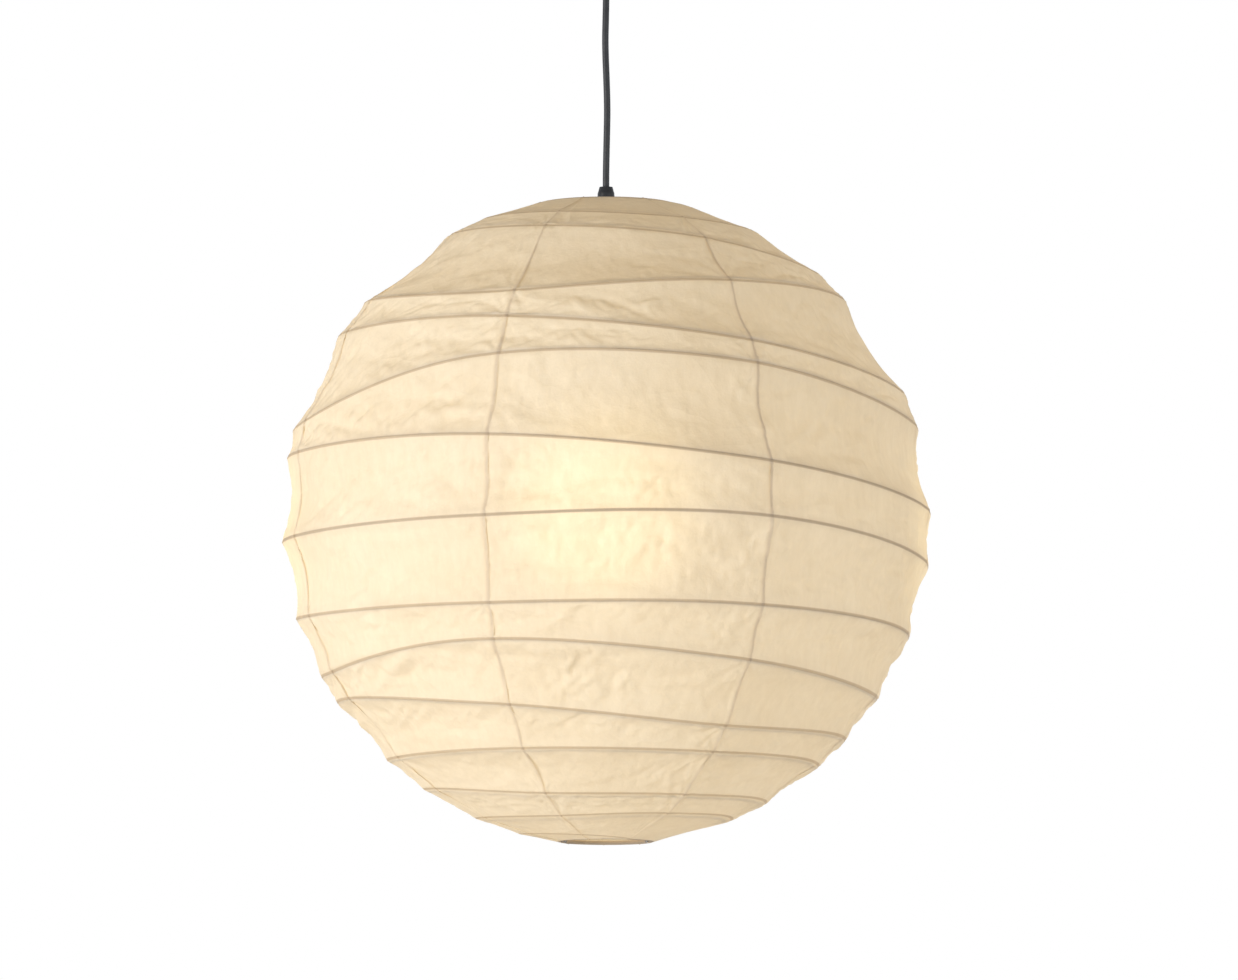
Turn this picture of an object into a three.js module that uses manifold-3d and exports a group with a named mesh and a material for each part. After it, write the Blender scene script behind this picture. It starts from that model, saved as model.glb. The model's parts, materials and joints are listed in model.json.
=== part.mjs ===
// A round paper pendant lantern: seven paper gores on one hand-laid bamboo spiral,
// stretched over a sprung wire frame that carries the lampholder, and hung by its
// black cord from a ceiling cup. Millimetres, +Z up, origin on the ceiling.
import * as THREE from 'three';
import { mergeVertices } from 'three/addons/utils/BufferGeometryUtils.js';
import Module from 'manifold-3d';

const wasm = await Module();
wasm.setup();

// ---------- driving dimensions ----------
const BALL_RADIUS = 275; // paper, over the ribs
const TOP_OPENING = 58; // radius
const BOTTOM_OPENING = 39; // radius
const PAPER = 0.3; // thickness
const GORES = 7;
const FIRST_SEAM = -21.5; // degrees round from the front
const GAP = 0.3; // between pieces that touch

const WIRE = 1.5; // radius of the ring, arm and leg wires
const CORD = 2.8; // radius
const CORD_DROP = 172; // free cord between the two grips
const CUP_RADIUS = 50; // ceiling cup
const CUP_HEIGHT = 38;
const OUTLET = 8; // how far the ceiling cord grip stands below the cup
const MOUTH = 2; // depth of a cord grip's flared mouth, where the cord bends
const CORD_END_GAP = 1.1; // room for the cord's end to tilt

const RIB_WIDTH = 2.4; // up and down
const RIB_DEPTH = 1.6; // in and out
const RIB_RADIUS = 272; // outside of the ribs, clear of the flat paper facets
const RIB_STEPS_PER_TURN = 24;

const LEG_X = 34.5; // the frame's two legs
const BULB_RADIUS = 30;
const BULB_Z = -12; // above the ball's centre
const GRIP_TOP = 284; // above the ball's centre

// ---------- worked out from them ----------
const ballHeight = (radius) => Math.sqrt(BALL_RADIUS ** 2 - radius ** 2);
const TOP_EDGE = ballHeight(TOP_OPENING);
const BOTTOM_EDGE = -ballHeight(BOTTOM_OPENING);
const RING_INSET = WIRE + GAP + PAPER; // ring wire's centre below the paper's edge
const TOP_RING_Z = TOP_EDGE - RING_INSET;
const BOTTOM_RING_Z = BOTTOM_EDGE + RING_INSET;
const CUP_MOUTH_Z = -(CUP_HEIGHT + OUTLET);
const BALL_Z = CUP_MOUTH_Z - CORD_DROP - GRIP_TOP;

// The bamboo spiral, turn by turn from the top: heights above the ball's centre at
// four stations round the front. It is laid by hand, so no two turns are alike.
const STATIONS = [-80, -25, 25, 80]; // degrees from the front, left to right
const TURNS = [
  [254, 251, 246, 243],
  [240, 236, 227, 206],
  [182, 173, 184, 185],
  [154, 151, 133, 105],
  [75, 116, 113, 78],
  [51, 49, 30, 6],
  [-20, -19, -17, -38],
  [-86, -90, -90, -98],
  [-134, -119, -133, -151],
  [-155, -170, -186, -186],
  [-204, -205, -207, -208],
  [-229, -239, -240, -239],
  [-253, -256, -254, -253],
];
// The bamboo starts and ends just inside the two rings.
const SPIRAL_START = { turn: -0.7, height: 263.5 };
const SPIRAL_END = { turn: 12.8, height: -266.5 };
// where one bamboo strip ends and the next begins, in turns from the front
const SPLICES = [1.35, 2.5, 3.4, 4.3, 5.15, 5.75, 6.6, 7.35, 7.99, 8.7, 9.6, 10.6];

// ---------- materials ----------
const finish = (color, roughness, metalness = 0) =>
  new THREE.MeshStandardMaterial({ color, roughness, metalness });
const PAPER_FINISH = finish(0xf3e4c4, 0.9);
const BAMBOO_FINISH = finish(0xb79a6f, 0.7);
const WIRE_FINISH = finish(0xb8bcc0, 0.35, 1);
const RING_FINISH = finish(0x9c8a70, 0.6, 0.2);
const CORD_FINISH = finish(0x2b2b2b, 0.6);
const BLACK_FINISH = finish(0x1d1d1d, 0.45);
const STEEL_FINISH = finish(0xa9adb2, 0.4, 1);
const BRASS_FINISH = finish(0xc8a35a, 0.35, 1);
const CERAMIC_FINISH = finish(0xf0ede6, 0.5);
const GLASS_FINISH = finish(0xfff8e8, 0.3);
const CAP_FINISH = finish(0xc9ccce, 0.3, 1);

// ---------- closed solids ----------
// Merges shared corners, drops slivers and turns the faces outwards.
function closed(geometry) {
  geometry.deleteAttribute('normal');
  geometry.deleteAttribute('uv');
  const merged = mergeVertices(geometry, 1e-3);
  const at = (i) => new THREE.Vector3().fromBufferAttribute(merged.attributes.position, i);
  const corners = merged.index.array;
  const kept = [];
  let volume = 0;
  for (let i = 0; i < corners.length; i += 3) {
    const [a, b, c] = [corners[i], corners[i + 1], corners[i + 2]];
    if (a === b || b === c || c === a) continue;
    kept.push(a, b, c);
    volume += at(a).dot(at(b).cross(at(c)));
  }
  merged.setIndex(volume < 0 ? kept.reverse() : kept);
  return merged;
}

function toManifold(geometry) {
  const solid = closed(geometry);
  return new wasm.Manifold(
    new wasm.Mesh({
      numProp: 3,
      vertProperties: new Float32Array(solid.attributes.position.array),
      triVerts: new Uint32Array(solid.index.array),
    }),
  );
}

function fromManifold(manifold) {
  const mesh = manifold.getMesh();
  const geometry = new THREE.BufferGeometry();
  geometry.setAttribute('position', new THREE.BufferAttribute(mesh.vertProperties, 3));
  geometry.setIndex(new THREE.BufferAttribute(mesh.triVerts, 1));
  return geometry;
}

const cut = (geometry, ...tools) =>
  fromManifold(tools.reduce((left, tool) => left.subtract(toManifold(tool)), toManifold(geometry)));

const join = (geometry, ...others) =>
  fromManifold(others.reduce((sum, other) => sum.add(toManifold(other)), toManifold(geometry)));

// ---------- shapes ----------
// Turns a closed [radius, height] outline round the Z axis.
function turned(outline, segments = 20) {
  const points = outline.map(([radius, height]) => new THREE.Vector2(radius, height));
  const first = points[0];
  if (first.x > 0) points.push(first.clone());
  return new THREE.LatheGeometry(points, segments).rotateX(Math.PI / 2);
}

const tubeOutline = (inner, outer, low, high) => [[inner, low], [outer, low], [outer, high], [inner, high]];

const ring = (radius, wire, z, segments = 36) =>
  new THREE.TorusGeometry(radius, wire, 6, segments).translate(0, 0, z);

// A round wire through the given points.
function wireThrough(points, radius, steps, sides = 8) {
  const path = new THREE.CatmullRomCurve3(points.map((p) => new THREE.Vector3(...p)), false, 'centripetal');
  const section = new THREE.Shape(new THREE.EllipseCurve(0, 0, radius, radius).getPoints(sides).slice(0, -1));
  return new THREE.ExtrudeGeometry(section, { extrudePath: path, steps, curveSegments: 1 });
}

const rod = (radius, length, segments = 12) => new THREE.CylinderGeometry(radius, radius, length, segments);
const rodAlongX = (radius, x0, x1, z, segments = 12) =>
  rod(radius, x1 - x0, segments).rotateZ(Math.PI / 2).translate((x0 + x1) / 2, 0, z);

// A hexagonal nut with a round bore.
function hexNut(corner, bore, low, high) {
  const arc = (radius, sides) => new THREE.EllipseCurve(0, 0, radius, radius).getPoints(sides).slice(0, -1);
  const outline = new THREE.Shape(arc(corner, 6));
  outline.holes.push(new THREE.Path(arc(bore, 20)));
  return new THREE.ExtrudeGeometry(outline, { depth: high - low, bevelEnabled: false }).translate(0, 0, low);
}

// A thin closed skin between an outer and an inner grid of points.
function skin(rows, columns, outerAt, innerAt) {
  const positions = [];
  const index = [];
  const stride = columns + 1;
  const inner = (rows + 1) * stride;
  for (const at of [outerAt, innerAt]) {
    for (let i = 0; i <= rows; i++) {
      for (let j = 0; j <= columns; j++) positions.push(...at(i / rows, j / columns));
    }
  }
  const quad = (a, b, c, d) => index.push(a, b, c, a, c, d);
  for (let i = 0; i < rows; i++) {
    for (let j = 0; j < columns; j++) {
      const a = i * stride + j;
      quad(a, a + 1, a + stride + 1, a + stride);
      quad(inner + a, inner + a + stride, inner + a + stride + 1, inner + a + 1);
    }
    const left = i * stride;
    const right = left + columns;
    quad(left, left + stride, inner + left + stride, inner + left);
    quad(right + stride, right, inner + right, inner + right + stride);
  }
  for (let j = 0; j < columns; j++) {
    const low = rows * stride + j;
    quad(j + 1, j, inner + j, inner + j + 1);
    quad(low, low + 1, inner + low + 1, inner + low);
  }
  const geometry = new THREE.BufferGeometry();
  geometry.setAttribute('position', new THREE.Float32BufferAttribute(positions, 3));
  geometry.setIndex(index);
  return geometry;
}

// ---------- the ball's own coordinates ----------
// A point at a horizontal radius, round from the front, at a height.
function roundFromFront(radius, degrees, height) {
  const angle = THREE.MathUtils.degToRad(degrees);
  return [radius * Math.sin(angle), -radius * Math.cos(angle), height];
}

// Height of the bamboo spiral at a place counted in turns: a smooth curve through
// the stations of every turn.
const spiralKnots = [
  { turn: -1, height: TOP_EDGE },
  SPIRAL_START,
  ...TURNS.flatMap((heights, turn) =>
    heights.map((height, station) => ({ turn: turn + STATIONS[station] / 360, height })),
  ),
  SPIRAL_END,
  { turn: 13.1, height: BOTTOM_EDGE },
];

function spiralHeight(turn) {
  const last = spiralKnots.length - 1;
  const next = THREE.MathUtils.clamp(spiralKnots.findIndex((knot) => knot.turn > turn), 1, last);
  const [a, b] = [spiralKnots[next - 1], spiralKnots[next]];
  const slope = (k) => {
    const [before, after] = [spiralKnots[Math.max(k - 1, 0)], spiralKnots[Math.min(k + 1, last)]];
    return (after.height - before.height) / (after.turn - before.turn);
  };
  const span = b.turn - a.turn;
  const t = (turn - a.turn) / span;
  const rise = (3 - 2 * t) * t * t;
  const leave = t * (1 - t) ** 2 * span * slope(next - 1);
  const arrive = -t * t * (1 - t) * span * slope(next);
  return a.height + rise * (b.height - a.height) + leave + arrive;
}

// ---------- shade ----------
// One gore: a paper panel from the top ring to the bottom ring, between two seams.
function paperGore(number) {
  const start = FIRST_SEAM + (number * 360) / GORES;
  const top = Math.asin(TOP_OPENING / BALL_RADIUS);
  const bottom = Math.PI - Math.asin(BOTTOM_OPENING / BALL_RADIUS);
  const at = (radius) => (down, across) => {
    const polar = top + down * (bottom - top);
    const seam = THREE.MathUtils.radToDeg(GAP / 2 / (BALL_RADIUS * Math.sin(polar)));
    const degrees = start + seam + across * (360 / GORES - 2 * seam);
    return roundFromFront(radius * Math.sin(polar), degrees, radius * Math.cos(polar));
  };
  return skin(14, 6, at(BALL_RADIUS), at(BALL_RADIUS - PAPER));
}

// One split-bamboo strip of the spiral, between two splices.
function ribStrip(from, to) {
  const splice = GAP / (2 * Math.PI * RIB_RADIUS);
  const steps = Math.ceil((to - from) * RIB_STEPS_PER_TURN);
  const at = (inset) => (along, across) => {
    const turn = from + splice + along * (to - from - 2 * splice);
    const height = spiralHeight(turn) + (0.5 - across) * RIB_WIDTH;
    const radius = Math.sqrt(RIB_RADIUS ** 2 - spiralHeight(turn) ** 2) - inset;
    return roundFromFront(radius, turn * 360, height);
  };
  return skin(steps, 1, at(0), at(RIB_DEPTH));
}

const topRing = () => ring(TOP_OPENING, WIRE, TOP_RING_Z);
const bottomRing = () => ring(BOTTOM_OPENING, WIRE, BOTTOM_RING_Z);

// ---------- stretcher frame ----------
const PLATE_TOP = GRIP_TOP - 18 - GAP; // underside of the cord grip's cap
const PLATE_THICKNESS = 1.5;
const PLATE_RADIUS = 17;
const ARM_Z = PLATE_TOP - PLATE_THICKNESS - GAP - WIRE;
const ARM_UNDER_RING = TOP_RING_Z - 2 * WIRE - GAP - 0.2;
const BUSH_RADIUS = 5; // threaded bush of the cord grip

// The small plate that the cord grip clamps and the two arms are welded under.
const bridgePlate = () =>
  turned(tubeOutline(BUSH_RADIUS + GAP, PLATE_RADIUS, PLATE_TOP - PLATE_THICKNESS, PLATE_TOP), 24);

// An arm runs out from the plate, rises inside the top ring to locate it and ends
// under the ring, which rests on it.
const frameArm = (side) =>
  wireThrough(
    [
      [side * 12, 0, ARM_Z],
      [side * 30, 0, ARM_Z],
      [side * 46, 0, ARM_Z],
      [side * 49, 0, ARM_Z + 0.8],
      [side * 51.5, 0, ARM_Z + 2.4],
      [side * 54, 0, ARM_Z + 0.9],
      [side * 57, 0, ARM_UNDER_RING],
      [side * 62, 0, ARM_UNDER_RING],
    ],
    WIRE,
    24,
  );

// A leg runs straight down from its arm; its foot springs out against the bottom
// ring and is nipped in where the ring sits.
function frameLeg(side) {
  const high = ARM_Z - WIRE - GAP;
  const knee = BOTTOM_RING_Z + 16;
  const shank = rod(WIRE, high - knee, 8).rotateX(Math.PI / 2).translate(side * LEG_X, 0, (high + knee) / 2);
  const foot = wireThrough(
    [
      [side * LEG_X, 0, knee + 1],
      [side * LEG_X, 0, knee - 3],
      [side * (LEG_X + 0.9), 0, BOTTOM_RING_Z + 4.5],
      [side * (LEG_X - 0.4), 0, BOTTOM_RING_Z],
      [side * (LEG_X + 0.4), 0, BOTTOM_EDGE],
    ],
    WIRE,
    8,
  );
  return join(shank, foot);
}

// ---------- lampholder ----------
const CAP_LOW = BULB_Z + 50; // bulb's metal cap, bottom and top
const CAP_HIGH = CAP_LOW + 20;
const TIP_HIGH = CAP_HIGH + 5;
const FLANGE_Z = TIP_HIGH; // underside of the lampholder's flange
const SKIRT_RADIUS = 17.5;
const LOOP_Z = FLANGE_Z - GAP - WIRE;
const RING_TOP = LOOP_Z - WIRE - GAP;
const RING_HEIGHT = 9;
const DOME_LOW = FLANGE_Z + 3 + GAP;
const DOME_HIGH = DOME_LOW + 28;
const CARRIER_HIGH = DOME_LOW + 7;
const NIPPLE_HIGH = DOME_HIGH + 12;

// The wire loop round the lampholder, with a stub out to each leg.
function holderLoop() {
  const radius = SKIRT_RADIUS + GAP + WIRE;
  const legFace = LEG_X - WIRE - GAP;
  return join(
    ring(radius, WIRE, LOOP_Z, 24),
    rodAlongX(1.2, radius + 0.8, legFace, LOOP_Z, 8),
    rodAlongX(1.2, -legFace, -radius - 0.8, LOOP_Z, 8),
  );
}

const holderSkirt = () =>
  turned([
    [14.5, FLANGE_Z - 30],
    [SKIRT_RADIUS - 0.6, FLANGE_Z - 30],
    [SKIRT_RADIUS, FLANGE_Z - 29],
    [SKIRT_RADIUS, FLANGE_Z],
    [21, FLANGE_Z],
    [21, FLANGE_Z + 3],
    [14.5, FLANGE_Z + 3],
  ]);

const shadeRing = () =>
  turned([
    [SKIRT_RADIUS + 0.4, RING_TOP - RING_HEIGHT],
    [22, RING_TOP - RING_HEIGHT],
    [23, RING_TOP - RING_HEIGHT + 1.5],
    [23, RING_TOP - 1.5],
    [22, RING_TOP],
    [SKIRT_RADIUS + 0.4, RING_TOP],
  ]);

const holderDome = () =>
  turned([
    [18.3, DOME_LOW],
    [20.5, DOME_LOW],
    [20.5, DOME_LOW + 14],
    [18, DOME_LOW + 22],
    [13, DOME_HIGH],
    [6.3, DOME_HIGH],
    [6.3, DOME_HIGH - 2.5],
    [11.6, DOME_HIGH - 2.5],
    [16, DOME_LOW + 20.5],
    [18.3, DOME_LOW + 13],
  ]);

const holderNipple = () =>
  turned([
    [CORD + GAP, DOME_HIGH - 6],
    [6, DOME_HIGH - 6],
    [6, DOME_HIGH + GAP],
    [7.5, DOME_HIGH + GAP],
    [7.5, DOME_HIGH + 8],
    [5.5, NIPPLE_HIGH],
    [CORD + GAP, NIPPLE_HIGH],
  ]);

const contactCarrier = () => turned([[0, DOME_LOW], [16.5, DOME_LOW], [16.5, CARRIER_HIGH], [0, CARRIER_HIGH]]);
const screwShell = () => turned(tubeOutline(13.8, 14.2, CAP_LOW + 1, FLANGE_Z + 1));

// The springy centre contact, a bent brass strip between the carrier and the bulb's tip.
function centreContact() {
  const low = TIP_HIGH + GAP;
  const high = DOME_LOW - GAP;
  const side = [[-9, high - 0.5], [-9, high], [9, high], [9, high - 0.5], [-4, high - 0.5], [4, low], [3, low]];
  const outline = new THREE.Shape(side.map(([x, z]) => new THREE.Vector2(x, z)));
  return new THREE.ExtrudeGeometry(outline, { depth: 4, bevelEnabled: false }).rotateX(Math.PI / 2).translate(0, 2, 0);
}

const terminalScrew = (side) =>
  rod(2.4, 2.6).rotateX(Math.PI / 2).translate(side * 9, 0, CARRIER_HIGH + GAP + 1.3);

const innerCord = () =>
  wireThrough([[0, 0, GRIP_TOP - MOUTH - CORD_END_GAP], [0, 0, 200], [0, 0, DOME_HIGH - 10]], CORD, 3);

// A core leaves the cord inside the dome and bends down to its terminal.
const cordCore = (side) =>
  wireThrough(
    [
      [side * 1.3, 0, DOME_HIGH - 10.5],
      [side * 1.4, 0, DOME_HIGH - 12],
      [side * 3.5, 0, DOME_HIGH - 14.5],
      [side * 8, 0, DOME_HIGH - 16],
      [side * 9, 0, CARRIER_HIGH + GAP + 2.6 + GAP],
    ],
    0.9,
    8,
    6,
  );

// ---------- cord grip on top of the frame ----------
const gripCap = () =>
  turned([
    [CORD + GAP, PLATE_TOP + GAP],
    [7.2, PLATE_TOP + GAP],
    [7.2, PLATE_TOP + 11.5],
    [6.6, PLATE_TOP + 14.5],
    [5.6, GRIP_TOP],
    [CORD + 1.2, GRIP_TOP],
    [CORD + GAP, GRIP_TOP - MOUTH - 0.6],
  ]);

const gripBush = () => turned(tubeOutline(CORD + GAP, BUSH_RADIUS, PLATE_TOP - 12, PLATE_TOP));

const gripNut = () => {
  const high = PLATE_TOP - PLATE_THICKNESS - GAP;
  return hexNut(8.5, BUSH_RADIUS + GAP, high - 4, high);
};

// ---------- bulb ----------
// An opal globe, open at the neck where it is glued into its cap.
function bulbGlass() {
  const wall = 1;
  const neck = CAP_LOW - GAP;
  const globe = (radius) => {
    const arc = [];
    for (let degrees = 0; degrees <= 128; degrees += 16) {
      const angle = THREE.MathUtils.degToRad(degrees);
      arc.push([radius * Math.sin(angle), BULB_Z - radius * Math.cos(angle)]);
    }
    return arc;
  };
  const outside = [...globe(BULB_RADIUS), [17, BULB_Z + 32], [13.2, BULB_Z + 42], [12.8, neck]];
  const inside = [...globe(BULB_RADIUS - wall), [16, BULB_Z + 32], [12.2, BULB_Z + 42], [11.8, neck]];
  return turned([...outside, ...inside.reverse()]);
}

const bulbCap = () =>
  turned([
    [11.5, CAP_LOW],
    [13.3, CAP_LOW],
    [13.3, CAP_HIGH],
    [10.5, CAP_HIGH + 2],
    [9.3, CAP_HIGH + 2],
    [9.3, CAP_HIGH - 0.5],
    [11.5, CAP_HIGH - 2],
  ]);

const bulbInsulator = () =>
  turned([[0, CAP_HIGH], [9, CAP_HIGH], [9, CAP_HIGH + 2.3], [5.5, CAP_HIGH + 3.8], [0, CAP_HIGH + 3.8]], 16);

const bulbContact = () =>
  turned([[0, CAP_HIGH + 3.8 + GAP], [4.5, CAP_HIGH + 3.8 + GAP], [3, TIP_HIGH], [0, TIP_HIGH]], 12);

// ---------- suspension cord ----------
// It hangs almost straight, with the slight wave of a cord that was coiled in its box.
const CORD_ROUTE = [
  [0, 0, CUP_MOUTH_Z + MOUTH],
  [0, 0, -60],
  [-0.3, 0, -76],
  [-0.6, 0, -92],
  [-0.3, 0, -108],
  [0.3, 0, -124],
  [0.8, 0, -140],
  [1, 0, -154],
  [0.8, 0, -168],
  [0.5, 0, -182],
  [0.2, 0, -196],
  [0, 0, -209],
  [0, 0, BALL_Z + GRIP_TOP - MOUTH],
];
const suspensionCord = () => wireThrough(CORD_ROUTE, CORD, 14);

// ---------- ceiling fitting ----------
const SCREW_Z = -8;
const EAR_X = 46.3; // outer face of the bracket's ears
const SHEET = 1.6;

// A steel strap for two ceiling screws, with an ear at each end for the cup's screws.
function ceilingBracket() {
  const ear = -14;
  const profile = [
    [-EAR_X, 0], [EAR_X, 0], [EAR_X, ear], [EAR_X - SHEET, ear],
    [EAR_X - SHEET, -SHEET], [-EAR_X + SHEET, -SHEET], [-EAR_X + SHEET, ear], [-EAR_X, ear],
  ];
  const outline = new THREE.Shape(profile.map(([x, z]) => new THREE.Vector2(x, z)));
  const strap = new THREE.ExtrudeGeometry(outline, { depth: 18, bevelEnabled: false });
  strap.rotateX(Math.PI / 2).translate(0, 9, 0);
  const ceilingHole = (x) => rod(2.3, 10).rotateX(Math.PI / 2).translate(x, 0, 0);
  return cut(strap, ceilingHole(-32), ceilingHole(32), rodAlongX(1.8, -EAR_X - 5, EAR_X + 5, SCREW_Z, 10));
}

function ceilingCup() {
  const wall = 2;
  const cup = turned(
    [
      [CUP_RADIUS, 0],
      [CUP_RADIUS, -30],
      [CUP_RADIUS - 2.4, -35.6],
      [CUP_RADIUS - 8, -CUP_HEIGHT],
      [6.4, -CUP_HEIGHT],
      [6.4, wall - CUP_HEIGHT],
      [CUP_RADIUS - 9, wall - CUP_HEIGHT],
      [CUP_RADIUS - 4, -33.5],
      [CUP_RADIUS - wall, -29],
      [CUP_RADIUS - wall, 0],
    ],
    28,
  );
  return cut(cup, rodAlongX(1.9, -CUP_RADIUS - 5, CUP_RADIUS + 5, SCREW_Z, 10));
}

// A pan-head screw through the cup's wall into the bracket's ear.
const cupScrew = (side) =>
  turned(
    [
      [0, 0], [2, 0], [3.2, -0.8], [3.2, -2.2], [1.5, -2.2], [1.5, -10], [0, -10],
    ],
    12,
  )
    .rotateY((side * Math.PI) / 2)
    .translate(side * (CUP_RADIUS + 2.2 + GAP), 0, SCREW_Z);

const outletGrip = () =>
  turned([
    [CORD + GAP, -28],
    [6, -28],
    [6, -CUP_HEIGHT - GAP],
    [9, -CUP_HEIGHT - GAP],
    [9, CUP_MOUTH_Z + 2],
    [7.2, CUP_MOUTH_Z],
    [CORD + 1.8, CUP_MOUTH_Z],
    [CORD + GAP, CUP_MOUTH_Z + MOUTH + CORD_END_GAP],
  ]);

const outletNut = () => hexNut(10, 6 + GAP, -CUP_HEIGHT + 2 + GAP, -CUP_HEIGHT + 6.5);

function terminalBlock() {
  const block = new THREE.BoxGeometry(26, 15, 13).translate(0, 0, -SHEET - GAP - 6.5);
  const wireWay = (x) => rod(2, 8, 8).rotateX(Math.PI / 2).translate(x, 0, -SHEET - GAP - 13);
  return cut(block, wireWay(-8), wireWay(8));
}

const cordTail = () =>
  wireThrough([[0, 0, -16], [0, 0, -30], [0, 0, CUP_MOUTH_Z + MOUTH + CORD_END_GAP]], CORD, 2);

// ---------- assembly ----------
const lantern = new THREE.Group();
const ball = new THREE.Group();
ball.position.z = BALL_Z;
lantern.add(ball);

function add(group, name, geometry, material) {
  const mesh = new THREE.Mesh(closed(geometry), material);
  mesh.name = name;
  group.add(mesh);
}

add(lantern, 'ceiling_bracket', ceilingBracket(), STEEL_FINISH);
add(lantern, 'ceiling_cup', ceilingCup(), BLACK_FINISH);
add(lantern, 'cup_screw_left', cupScrew(-1), STEEL_FINISH);
add(lantern, 'cup_screw_right', cupScrew(1), STEEL_FINISH);
add(lantern, 'terminal_block', terminalBlock(), CERAMIC_FINISH);
add(lantern, 'outlet_grip', outletGrip(), BLACK_FINISH);
add(lantern, 'outlet_nut', outletNut(), BLACK_FINISH);
add(lantern, 'cord_tail', cordTail(), CORD_FINISH);
add(lantern, 'suspension_cord', suspensionCord(), CORD_FINISH);

add(ball, 'grip_cap', gripCap(), BLACK_FINISH);
add(ball, 'grip_bush', gripBush(), BLACK_FINISH);
add(ball, 'grip_nut', gripNut(), BLACK_FINISH);
add(ball, 'bridge_plate', bridgePlate(), WIRE_FINISH);
add(ball, 'frame_arm_left', frameArm(-1), WIRE_FINISH);
add(ball, 'frame_arm_right', frameArm(1), WIRE_FINISH);
add(ball, 'frame_leg_left', frameLeg(-1), WIRE_FINISH);
add(ball, 'frame_leg_right', frameLeg(1), WIRE_FINISH);
add(ball, 'holder_loop', holderLoop(), WIRE_FINISH);

add(ball, 'inner_cord', innerCord(), CORD_FINISH);
add(ball, 'core_live', cordCore(-1), CORD_FINISH);
add(ball, 'core_neutral', cordCore(1), CORD_FINISH);
add(ball, 'holder_nipple', holderNipple(), BLACK_FINISH);
add(ball, 'holder_dome', holderDome(), BLACK_FINISH);
add(ball, 'holder_skirt', holderSkirt(), BLACK_FINISH);
add(ball, 'shade_ring', shadeRing(), BLACK_FINISH);
add(ball, 'contact_carrier', contactCarrier(), CERAMIC_FINISH);
add(ball, 'screw_shell', screwShell(), BRASS_FINISH);
add(ball, 'centre_contact', centreContact(), BRASS_FINISH);
add(ball, 'terminal_screw_live', terminalScrew(-1), BRASS_FINISH);
add(ball, 'terminal_screw_neutral', terminalScrew(1), BRASS_FINISH);

add(ball, 'bulb_glass', bulbGlass(), GLASS_FINISH);
add(ball, 'bulb_cap', bulbCap(), CAP_FINISH);
add(ball, 'bulb_insulator', bulbInsulator(), CERAMIC_FINISH);
add(ball, 'bulb_contact', bulbContact(), BRASS_FINISH);

add(ball, 'top_ring', topRing(), RING_FINISH);
add(ball, 'bottom_ring', bottomRing(), RING_FINISH);
for (let gore = 0; gore < GORES; gore++) {
  add(ball, `paper_gore_${gore + 1}`, paperGore(gore), PAPER_FINISH);
}
const spliceEnds = [SPIRAL_START.turn, ...SPLICES, SPIRAL_END.turn];
for (let strip = 0; strip + 1 < spliceEnds.length; strip++) {
  const name = `rib_strip_${String(strip + 1).padStart(2, '0')}`;
  add(ball, name, ribStrip(spliceEnds[strip], spliceEnds[strip + 1]), BAMBOO_FINISH);
}

export default lantern;
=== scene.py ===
"""The paper pendant lantern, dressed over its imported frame: creased mulberry paper on a bamboo
spiral, a lit bulb inside and a black cord up to its ceiling cup. Metres, +Z up."""
import json
import math

import bmesh
import bpy
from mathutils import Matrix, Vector, noise

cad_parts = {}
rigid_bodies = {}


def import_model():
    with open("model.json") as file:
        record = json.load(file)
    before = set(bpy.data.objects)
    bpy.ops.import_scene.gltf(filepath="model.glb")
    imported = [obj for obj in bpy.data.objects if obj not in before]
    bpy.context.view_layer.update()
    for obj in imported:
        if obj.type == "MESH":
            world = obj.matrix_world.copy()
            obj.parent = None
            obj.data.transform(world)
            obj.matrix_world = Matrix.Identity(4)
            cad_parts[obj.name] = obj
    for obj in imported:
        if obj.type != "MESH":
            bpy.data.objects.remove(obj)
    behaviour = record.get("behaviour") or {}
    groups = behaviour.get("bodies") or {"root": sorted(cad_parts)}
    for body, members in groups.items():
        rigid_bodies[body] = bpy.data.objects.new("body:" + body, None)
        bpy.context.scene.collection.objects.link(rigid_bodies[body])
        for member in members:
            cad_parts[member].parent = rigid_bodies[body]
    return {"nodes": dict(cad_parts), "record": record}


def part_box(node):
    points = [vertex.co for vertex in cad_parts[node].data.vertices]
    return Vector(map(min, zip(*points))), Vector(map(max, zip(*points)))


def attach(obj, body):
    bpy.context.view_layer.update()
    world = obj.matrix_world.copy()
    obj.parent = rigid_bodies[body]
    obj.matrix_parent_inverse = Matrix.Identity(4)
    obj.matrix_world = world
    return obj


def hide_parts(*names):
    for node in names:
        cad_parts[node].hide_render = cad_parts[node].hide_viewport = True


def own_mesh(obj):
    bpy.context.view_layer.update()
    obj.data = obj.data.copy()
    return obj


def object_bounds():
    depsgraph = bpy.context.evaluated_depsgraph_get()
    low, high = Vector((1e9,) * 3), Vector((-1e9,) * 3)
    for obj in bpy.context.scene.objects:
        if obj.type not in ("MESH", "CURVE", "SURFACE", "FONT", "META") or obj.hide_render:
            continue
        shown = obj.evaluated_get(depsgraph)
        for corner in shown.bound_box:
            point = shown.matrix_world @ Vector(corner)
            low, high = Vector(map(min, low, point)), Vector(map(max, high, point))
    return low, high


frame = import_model()
cad_low, cad_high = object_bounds()

MM = 0.001
TAU = 2 * math.pi

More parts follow.
